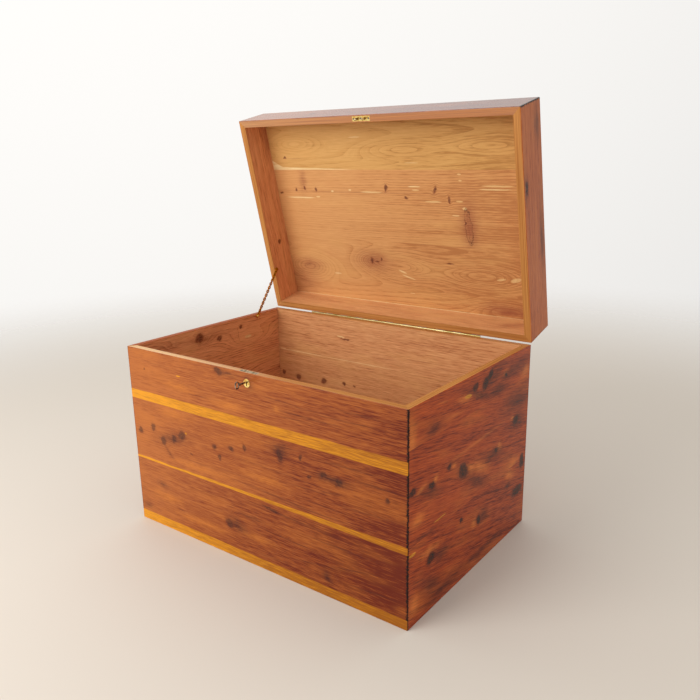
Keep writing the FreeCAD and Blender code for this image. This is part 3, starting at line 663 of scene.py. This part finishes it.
def lay_sapwood(tree, wood, grain, smooth, bare, ripple, tone, features, pair, ends):
    """Cream edges beyond straight lines, and flecks; also gives the share of sapwood."""
    along, across = add(tree, "ShaderNodeSeparateXYZ", [grain]).node.outputs[:2]
    sapwood = 0.0
    for key, sign in (("sap_below", 1.0), ("sap_above", -1.0)):
        for start, end in features.get(key, ()):
            slope = (end - start) / (ends[1] - ends[0])
            line = add(tree, MATH, [along, slope, start - slope * ends[0] - RIPPLE_SIZE / 2],
                       operation="MULTIPLY_ADD")
            line = add(tree, MATH, [ripple, RIPPLE_SIZE, line], operation="MULTIPLY_ADD")
            gap = add(tree, MATH, [line, across], operation="SUBTRACT")
            gap = add(tree, MATH, [gap, sign], operation="MULTIPLY")
            inside = add(tree, RANGE, [gap, -EDGE_SOFT, EDGE_SOFT, 0.0, 1.0], **SMOOTH)
            sapwood = add(tree, MATH, [sapwood, inside], operation="MAXIMUM")
    fleck = nearest_spot(tree, smooth, features.get("flecks", ()))
    fleck = add(tree, RANGE, [fleck, *FLECK_EDGE], **SMOOTH)
    sapwood = add(tree, MATH, [sapwood, fleck], operation="MAXIMUM")
    cream = add(tree, MIX, {0: tone, 6: two_sides(tree, bare, pair), 7: two_sides(tree, bare, SAPWOOD_LINES)},
                **COLOUR)
    return add(tree, MIX, {0: sapwood, 6: wood, 7: cream}, **COLOUR), sapwood


print("stains under", 2 * THIN_MM, "mm broad are drawn as lines at", THIN_SHARE, "of their strength")

# %% [markdown]
# A knot is the foot of a branch. It is darker toward its heart, has rings of its own, and stains the wood round it.
# A scar is bark that the tree grew over, so only its outline is dark. Both are broken up by small specks.

# %% Knots and scars
# squared offsets at which each part of a knot starts and is strongest
KNOT_HALO = (4.0, 1.0)
HALO_SHARE = 0.3
KNOT_EDGE = (1.7, 0.75)
KNOT_HEART_EDGE = (1.3, 0.2, 0.0, 0.9)
# how close a knot's own rings lie and how strong they are, and what specks take from its strength
KNOT_CIRCLES = 13.0
CIRCLE_SHARE = 0.22
SPECK_SHARE = (1.3, 0.3)
SCAR_EDGE = (0.3, 0.05, 0.0, 1.0)
SCAR_SPECKS = (0.36, 0.62, 0.1, 0.8)


def lay_knots(tree, wood, ragged, bare, speck, features, strength):
    """Knots with a stained surround, rings of their own and a near black heart."""
    knot = nearest_spot(tree, ragged, features.get("knots", ()))
    halo = add(tree, RANGE, [knot, *KNOT_HALO, 0.0, HALO_SHARE * strength], **SMOOTH)
    wood = add(tree, MIX, {0: halo, 6: wood, 7: two_sides(tree, bare, CLOUD)}, **COLOUR)
    whole = add(tree, RANGE, [knot, *KNOT_EDGE, 0.0, strength], **SMOOTH)
    whole = add(tree, MATH, [whole, add(tree, MATH, [speck, *SPECK_SHARE], operation="MULTIPLY_ADD")],
                operation="MULTIPLY")
    circles = add(tree, MATH, [knot], operation="SQRT")
    circles = add(tree, MATH, [circles, KNOT_CIRCLES], operation="MULTIPLY")
    circles = add(tree, MATH, [circles], operation="SINE")
    heart = add(tree, RANGE, [knot, *KNOT_HEART_EDGE])
    heart = add(tree, MATH, [circles, CIRCLE_SHARE, heart], operation="MULTIPLY_ADD")
    colour = add(tree, MIX, {0: heart, 6: two_sides(tree, bare, KNOT_RING), 7: two_sides(tree, bare, KNOT_HEART)},
                 **COLOUR)
    return add(tree, MIX, {0: whole, 6: wood, 7: colour}, **COLOUR)


def lay_scars(tree, wood, ragged, bare, speck, features):
    """Dark outlines of bark, broken by specks."""
    for _, reach, _ in spots(tree, ragged, features.get("scars", ())):
        outline = add(tree, MATH, [reach, 1.0], operation="SUBTRACT")
        outline = add(tree, MATH, [outline], operation="ABSOLUTE")
        outline = add(tree, RANGE, [outline, *SCAR_EDGE], **SMOOTH)
        outline = add(tree, MATH, [outline, add(tree, RANGE, [speck, *SCAR_SPECKS])], operation="MULTIPLY")
        wood = add(tree, MIX, {0: outline, 6: wood, 7: two_sides(tree, bare, KNOT_HEART)}, **COLOUR)
    return wood


print("features laid in the order glows, clouds, sapwood, flecks, knots, scars")

# %% [markdown]
# Two places on a board are neither varnished face nor bare inside. The rim, the top edge of a wall or the lower edge
# of the lid, is sanded and banded along the grain. At the left end of the front it is paler, a painted highlight,
# and it is deeper along the top of the left wall and toward the right end of the lid's front rail.
# The mitres at the upright corners are dark lines, where old polish gathers. Both could be strips of their own, but
# a measure from the board's own edge colours them without another piece.

# %% Rims and mitres
# millimetres below the outer face between which varnish gives way to bare wood
VARNISH_DEPTH = (1.0, 2.2)
# millimetres from the edge at which the rim starts and is full, and the length and breadth of its bands
RIM_DEPTH = (1.5, 0.7)
RIM_LINES = (260.0, 2.4)
RIM_DETAIL = 3.0
RIM_BANDS = (0.3, 0.7, 0.0, 1.0)
# where along a board its first rim colours have faded into the second
RIM_FADE_END = 80.0
# millimetres from the corner at which dirt starts and is full, after specks have moved it by as much as the last
CORNER_REACH = (-1.2, -5.5)
CORNER_RAGGED = 12.0


def bare_share(tree, grain, low, high, outward, rim_side):
    """0 in the varnish of the outer face and 1 in bare wood; the top edge of a lid rail is varnished too."""
    across, depth = add(tree, "ShaderNodeSeparateXYZ", [grain]).node.outputs[1:3]
    inward = add(tree, MATH, [depth, high[2] if outward > 0 else low[2]], operation="SUBTRACT")
    inward = add(tree, MATH, [inward], operation="ABSOLUTE")
    bare = add(tree, RANGE, [inward, *VARNISH_DEPTH, 0.0, 1.0], **SMOOTH)
    if rim_side < 0:
        below = add(tree, MATH, [high[1], across], operation="SUBTRACT")
        below = add(tree, RANGE, [below, *VARNISH_DEPTH, 0.0, 1.0], **SMOOTH)
        bare = add(tree, MATH, [bare, below], operation="MULTIPLY")
    return bare


def lay_corner_dirt(tree, wood, grain, half_length, shares, speck, clean):
    """Old polish in the mitres at both ends of a board, ragged, and kept off what is clean."""
    along = add(tree, "ShaderNodeSeparateXYZ", [grain])
    distance = add(tree, MATH, [along], operation="ABSOLUTE")
    distance = add(tree, MATH, [half_length, distance], operation="SUBTRACT")
    distance = add(tree, MATH, [speck, -CORNER_RAGGED, distance], operation="MULTIPLY_ADD")
    dirt = add(tree, RANGE, [distance, *CORNER_REACH, 0.0, 1.0], **SMOOTH)
    dirt = add(tree, MATH, [dirt, add(tree, RANGE, [along, -1.0, 1.0, *shares])], operation="MULTIPLY")
    dirt = add(tree, MATH, [dirt, add(tree, MATH, [1.0, clean], operation="SUBTRACT")], operation="MULTIPLY")
    return add(tree, MIX, {0: dirt, 6: wood, 7: ink(CORNER_DIRT)}, **COLOUR)


def lay_rim(tree, wood, grain, edge, start, pairs, bare, seed):
    """The sanded rim along an edge, fading from the first pair of colours to the second; also gives its share."""
    along, across = add(tree, "ShaderNodeSeparateXYZ", [grain]).node.outputs[:2]
    distance = add(tree, MATH, [across, edge], operation="SUBTRACT")
    distance = add(tree, MATH, [distance], operation="ABSOLUTE")
    rim = add(tree, RANGE, [distance, *RIM_DEPTH, 0.0, 1.0], **SMOOTH)
    rim = add(tree, MATH, [rim, bare], operation="MULTIPLY")
    where = add(tree, VECTOR, [grain, (1 / RIM_LINES[0], 0.0, 1 / RIM_LINES[1]), (seed, seed, seed)],
                operation="MULTIPLY_ADD")
    bands = add(tree, NOISE, {"Vector": where, "Scale": 1.0, "Detail": RIM_DETAIL})
    bands = add(tree, RANGE, [bands, *RIM_BANDS])
    near, far = (add(tree, MIX, {0: bands, 6: ink(pale), 7: ink(deep)}, **COLOUR) for pale, deep in pairs)
    away = add(tree, RANGE, [along, start, RIM_FADE_END, 0.0, 1.0])
    rim_wood = add(tree, MIX, {0: away, 6: near, 7: far}, **COLOUR)
    return add(tree, MIX, {0: rim, 6: wood, 7: rim_wood}, **COLOUR), rim


print("varnish ends", VARNISH_DEPTH[1], "mm deep, rim bands", RIM_LINES[1], "mm broad")

# %% [markdown]
# One function now finishes a board from all these steps, with the gloss of varnish outside and the dull surface of
# bare wood inside. Old varnish has been waxed and rubbed, so it reflects less than new varnish, and least on the two
# short walls. Shallow relief along the fibres breaks the reflections up, more on bare wood than under varnish.

# %% Finish of one board
SPECK = (6.0, 4.0, 3.0)
NOISE_MIDDLE = (0.5, 0.5, 0.5)
# size of the blotches that make outlines ragged, how far they push, and how much of that thin features are spared
RAGGED_MM = 24.0
RAGGED_DETAIL = 4.0
RAGGED_ROUGHNESS = 0.62
RAGGED_SIZE = 20.0
SMOOTH_SHARE = 0.88
# how many board widths below a board its pith lies, how much that differs, and how many millimetres deep
PITH_BELOW = 0.4
PITH_SPREAD = 0.3
PITH_DEPTH = 60.0
# strength of a stain as a multiple of the tone, and what is added to that
GLOW_STRENGTH = (-0.4, 0.75)
CLOUD_STRENGTH = (0.6, 0.35)
KNOT_STRENGTH = {"front": 0.58, "right": 0.88}
OTHER_KNOTS = 0.85
# rim colours at the low end of a board and at its high end, where they differ from the rest; the front's low end is a
# painted highlight
RIMS = {"front_board_upper": (PAINTED_HIGHLIGHT_RIM, RIM), "left_board_upper": (STAINED_RIM, STAINED_RIM),
        "lid_front_rail": (RIM, DEEP_RIM)}
# strength of the mitre's dark line at the low end of a wall and at its high end
CORNERS = {"front": (0.45, 0.98), "right": (0.98, 0.45), "back": (0.45, 0.45), "left": (0.45, 0.45)}
# varnish has the index of most resins; a reflection of 0.5 is new varnish, and relief is in metres
VARNISH_IOR = 1.5
VARNISH_ROUGHNESS = 0.22
BARE_ROUGHNESS = 0.62
RIM_ROUGHNESS = 0.45
VARNISH_REFLECTION = 0.25
RUBBED_REFLECTION = {"right": 0.14, "left": 0.08}
GRAIN_RELIEF = 0.00025
RELIEF_STRENGTH = (0.18, 0.6)


def cedar_board(node, wall, rim_side, seed):
    """Varnished red cedar outside and bare cedar inside, with the figure and features of one board.

    Varnish gives the eye deep red brown with soft highlights, and bare cedar a paler, dull orange.
    """
    features = FEATURES.get(node, {})
    *axes, outward = WALLS[wall]
    low, high = (corner[axes] for corner in shut_box(node))
    turn, shift = closing(node)
    material, tree = new_finish(f"red_cedar_{node}")
    place = add(tree, "ShaderNodeMapping",
                [add(tree, "ShaderNodeTexCoord", out="Object"), [value * MM for value in shift],
                 (turn, 0.0, 0.0), (MM, MM, MM)])
    place = add(tree, "ShaderNodeSeparateXYZ", [place]).node.outputs
    grain = add(tree, "ShaderNodeCombineXYZ", [place[axis] for axis in axes])
    bare = bare_share(tree, grain, low, high, outward, rim_side)

    ripple = noise_along(tree, grain, seed, *RIPPLE)
    speck = noise_along(tree, grain, seed, *SPECK)
    push = add(tree, NOISE, {"Vector": grain, "Scale": 1 / RAGGED_MM, "Detail": RAGGED_DETAIL,
                             "Roughness": RAGGED_ROUGHNESS}, out="Color")
    push = add(tree, VECTOR, [push, NOISE_MIDDLE], operation="SUBTRACT")
    ragged = add(tree, VECTOR, [push, (RAGGED_SIZE, RAGGED_SIZE, 0.0), grain], operation="MULTIPLY_ADD")
    smooth = add(tree, MIX, {0: SMOOTH_SHARE, 4: ragged, 5: grain}, out=1, data_type="VECTOR")

    below = (high[1] - low[1]) * (PITH_BELOW + PITH_SPREAD * math.sin(seed))
    pith = features.get("pith", (low[1] - below, PITH_DEPTH))
    drift = (0.0, 0.0, math.radians(features.get("drift", 0.0)))
    flow = add(tree, "ShaderNodeMapping", [grain, (0.0, 0.0, 0.0), drift])
    ring = ring_number(tree, grain, flow, features, pith, ripple, seed)
    wood, tone, relief = plain_wood(tree, flow, bare, ring, wall, features, high[0], seed)
    # the right wall, in shade, gets the brighter amber and sapwood: painted light
    amber, cream = (PAINTED_LIGHT_AMBER, PAINTED_LIGHT_SAPWOOD) if wall == "right" else (AMBER, SAPWOOD)
    for key, pair, strength in (("glows", amber, GLOW_STRENGTH), ("clouds", CLOUD, CLOUD_STRENGTH)):
        wood = lay_soft(tree, wood, features.get(key, ()), pair, strength, ragged, smooth, bare, tone)
    wood, sapwood = lay_sapwood(tree, wood, grain, smooth, bare, ripple, tone, features, cream, (low[0], high[0]))
    wood = lay_knots(tree, wood, ragged, bare, speck, features, KNOT_STRENGTH.get(wall, OTHER_KNOTS))
    wood = lay_scars(tree, wood, ragged, bare, speck, features)

    rough = add(tree, RANGE, [bare, 0.0, 1.0, VARNISH_ROUGHNESS, BARE_ROUGHNESS])
    if wall in CORNERS:
        clean = add(tree, MATH, [sapwood, bare], operation="MAXIMUM")
        wood = lay_corner_dirt(tree, wood, grain, high[0], CORNERS[wall], speck, clean)
    if rim_side:
        edge = high[1] if rim_side > 0 else low[1]
        wood, rim = lay_rim(tree, wood, grain, edge, low[0], RIMS.get(node, (RIM, RIM)), bare, seed)
        rough = add(tree, MIX, {0: rim, 2: rough, 3: RIM_ROUGHNESS})
    strength = add(tree, RANGE, [bare, 0.0, 1.0, *RELIEF_STRENGTH])
    normal = add(tree, "ShaderNodeBump", {"Strength": strength, "Distance": GRAIN_RELIEF, "Height": relief})
    shader = add(tree, "ShaderNodeBsdfPrincipled",
                 {"Base Color": wood, "Roughness": rough, "Normal": normal, "IOR": VARNISH_IOR,
                  "Specular IOR Level": features.get("polish", RUBBED_REFLECTION.get(wall, VARNISH_REFLECTION))})
    add(tree, "ShaderNodeOutputMaterial", [shader])
    return dress(node, material)


print("reflection of old varnish", VARNISH_REFLECTION, "and of the short walls", RUBBED_REFLECTION)

# %% [markdown]
# The boards are then taken in turn, and each gets its own seed, so that no two show the same noise. The last value of
# a row says where its rim is: 1 at the top of an upper wall board, -1 at the bottom of a lid rail, 0 for none.

# %% All boards
SEED_STEP = 3.7
boards = []
for wall in ("front", "right", "back", "left"):
    boards += [(f"{wall}_board_{part}", wall, int(part == "upper")) for part in ("lower", "middle", "upper")]
    boards.append((f"lid_{wall}_rail", wall, -1))
for part in ("front", "middle", "rear"):
    boards += [(f"lid_top_board_{part}", "top", 0), (f"bottom_board_{part}", "bottom", 0)]
node_counts = [cedar_board(*board, SEED_STEP * index) for index, board in enumerate(boards)]
print("finished", len(boards), "boards with", sum(node_counts), "shader nodes")

# %% [markdown]
# The metals come next. Brass is yellow and satin where hands rub it, and browner where they don't. The key, the bolt
# and the pin are mild steel gone dark with handling. One even colour would look like paint, so noise of a few
# millimetres carries tarnish from rubbed to dull. Both are metals, so their colour is the colour of the reflection.

# %% Brass and steel
# millimetres across a patch of tarnish, on small fittings and on the long hinge
SMALL_TARNISH = 6.0
BROAD_TARNISH = 45.0
TARNISH_DETAIL = 4.0
TARNISH_RANGE = (0.35, 0.65, 0.0, 1.0)
# real polishing scratches are far finer: they are drawn at half a millimetre, so that they break up a reflection
SCRATCH_MM = 0.5
SCRATCH_DETAIL = 2.0
SCRATCH_STRENGTH = 0.1
SCRATCH_DEPTH = 0.0001


def worn_metal(name, bright, dull, smooth, rough, tarnish_mm):
    """A metal whose colour and gloss wander between a rubbed and a tarnished state, in patches of a real size."""
    material, tree = new_finish(name)
    place = add(tree, "ShaderNodeTexCoord", out="Object")
    tarnish = add(tree, NOISE, {"Vector": place, "Scale": MM / tarnish_mm, "Detail": TARNISH_DETAIL})
    tarnish = add(tree, RANGE, [tarnish, *TARNISH_RANGE], **SMOOTH)
    scratch = add(tree, NOISE, {"Vector": place, "Scale": MM / SCRATCH_MM, "Detail": SCRATCH_DETAIL})
    colour = add(tree, MIX, {0: tarnish, 6: ink(bright), 7: ink(dull)}, **COLOUR)
    gloss = add(tree, RANGE, [tarnish, 0.0, 1.0, smooth, rough])
    normal = add(tree, "ShaderNodeBump",
                 {"Strength": SCRATCH_STRENGTH, "Distance": SCRATCH_DEPTH, "Height": scratch})
    shader = add(tree, "ShaderNodeBsdfPrincipled",
                 {"Base Color": colour, "Metallic": 1.0, "Roughness": gloss, "Normal": normal})
    add(tree, "ShaderNodeOutputMaterial", [shader])
    return material


# brass that fingers polish: clear yellow glints on small plates
bright_brass = worn_metal("rubbed_bright_brass", "#FFE896", "#DDAE56", 0.22, 0.36, SMALL_TARNISH)
# rolled brass strip: a pale, even sheen in long, soft patches
pale_brass = worn_metal("satin_pale_brass", "#C4B27E", "#A8945A", 0.3, 0.42, BROAD_TARNISH)
# brass that has gone grey: little shine, and close in tone to the rim round it
grey_brass = worn_metal("dulled_grey_brass", "#D2BE98", "#98825E", 0.35, 0.5, SMALL_TARNISH)
# brass that nobody cleans: deep golden brown with broad, weak highlights
old_brass = worn_metal("tarnished_brass", "#C67A16", "#925806", 0.48, 0.6, SMALL_TARNISH)
# mild steel dark with handling: nearly black, with small bright edges
dark_steel = worn_metal("handled_dark_steel", "#B8A492", "#3A2E26", 0.22, 0.42, SMALL_TARNISH)
METALS = {
    bright_brass: ("escutcheon", "escutcheon_brads", "link_plate", "chain_screw_base"),
    pale_brass: ("hinge_leaf_base", "hinge_leaf_lid"),
    grey_brass: ("lock_case", "lock_cap", "link_staples"),
    old_brass: ("chain_screw_lid", "hinge_screws_base", "hinge_screws_lid"),
    dark_steel: ("hinge_pin", "lock_bolt", "key", "link_screws", "lock_screws"),
}
for finish, nodes in METALS.items():
    for node in nodes:
        dress(node, finish)
print("metal nodes", sum(len(nodes) for nodes in METALS.values()))

# %% [markdown]
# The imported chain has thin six-sided wire. The real one looks round and full, so here each link is a smooth loop of
# thicker wire: a circle, the wire, is carried round a path of two half circles and two straights. Each link is turned
# a little more than a quarter turn from the one before, so the chain shows the slow twist that a tight chain has. All
# links are one array, so there is no loop over points, and the two joints of the chain give the places of its ends.

# %% Chain
# lengths in metres, as the mesh needs them
WIRE_RADIUS = 0.0015
LINK_INNER_WIDTH = 0.0031
LINK_PLAY = 0.0004
LINK_COUNT = 22
LOWER_LINKS = 10
END_REACH = 0.009
EYE_RADIUS = 0.0023
TWIST = math.radians(90.0)
PATH_STEPS = 28
WIRE_STEPS = 10

chain_start = np.array(joints["chain_lower_swing"]["pos_m"])
chain_end = np.array(joints["chain_upper_swing"]["pos_m"])
span = np.linalg.norm(chain_end - chain_start)
run = (chain_end - chain_start) / span
sideways = np.array([1.0, 0.0, 0.0])
flat = np.cross(run, sideways)


def link_loops(middles, turns, inner_lengths, inner_widths):
    """Wire loops: the path is x = b cos t + s sign(cos t), y = b sin t, and a circle of wire is carried round it.

    b is the bend radius and s half the straight; x lies along the chain and y across it, turned about the chain.
    """
    t = (np.arange(PATH_STEPS) + 0.5) * 2 * math.pi / PATH_STEPS
    p = np.arange(WIRE_STEPS) * 2 * math.pi / WIRE_STEPS
    bend = (inner_widths / 2 + WIRE_RADIUS)[:, None]
    straight = ((inner_lengths - inner_widths) / 2)[:, None]
    reach = bend * np.cos(t) + straight * np.sign(np.cos(t)) + middles[:, None]
    aside = bend * np.sin(t)
    across = np.cos(turns)[:, None] * flat + np.sin(turns)[:, None] * sideways
    face = np.cross(run, across)
    path = chain_start + reach[..., None] * run + aside[..., None] * across[:, None, :]
    outward = np.cos(t)[None, :, None] * run + np.sin(t)[None, :, None] * across[:, None, :]
    wire = np.cos(p)[:, None] * outward[:, :, None, :] + np.sin(p)[:, None] * face[:, None, None, :]
    return path[:, :, None, :] + WIRE_RADIUS * wire


pitch = (span - 2 * END_REACH + LINK_PLAY) / LINK_COUNT
order = np.arange(LINK_COUNT)
end_middle = (END_REACH - EYE_RADIUS) / 2
middles = np.concatenate([[end_middle], END_REACH - LINK_PLAY + order * pitch + (pitch + LINK_PLAY) / 2,
                          [span - end_middle]])
turns = np.concatenate([[0.0], (order + 1) * (math.pi / 2 + TWIST / (LINK_COUNT + 1)), [0.0]])
inner_lengths = np.full(LINK_COUNT + 2, pitch + LINK_PLAY)
inner_widths = np.full(LINK_COUNT + 2, LINK_INNER_WIDTH)
inner_lengths[[0, -1]] = END_REACH + EYE_RADIUS
inner_widths[[0, -1]] = 2 * EYE_RADIUS
links = link_loops(middles, turns, inner_lengths, inner_widths)
one_link = grid_faces(PATH_STEPS, WIRE_STEPS, True)
for body, part in (("chain_lower", links[:LOWER_LINKS + 1]), ("chain_upper", links[LOWER_LINKS + 1:])):
    starts = np.arange(len(part)) * PATH_STEPS * WIRE_STEPS
    faces = (starts[:, None, None] + one_link).reshape(-1, 4)
    piece = new_piece(f"{body}_links", part, faces, old_brass)
    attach(piece, body)
    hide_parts(body)
    print(body, len(part), "links", len(faces), "quads")
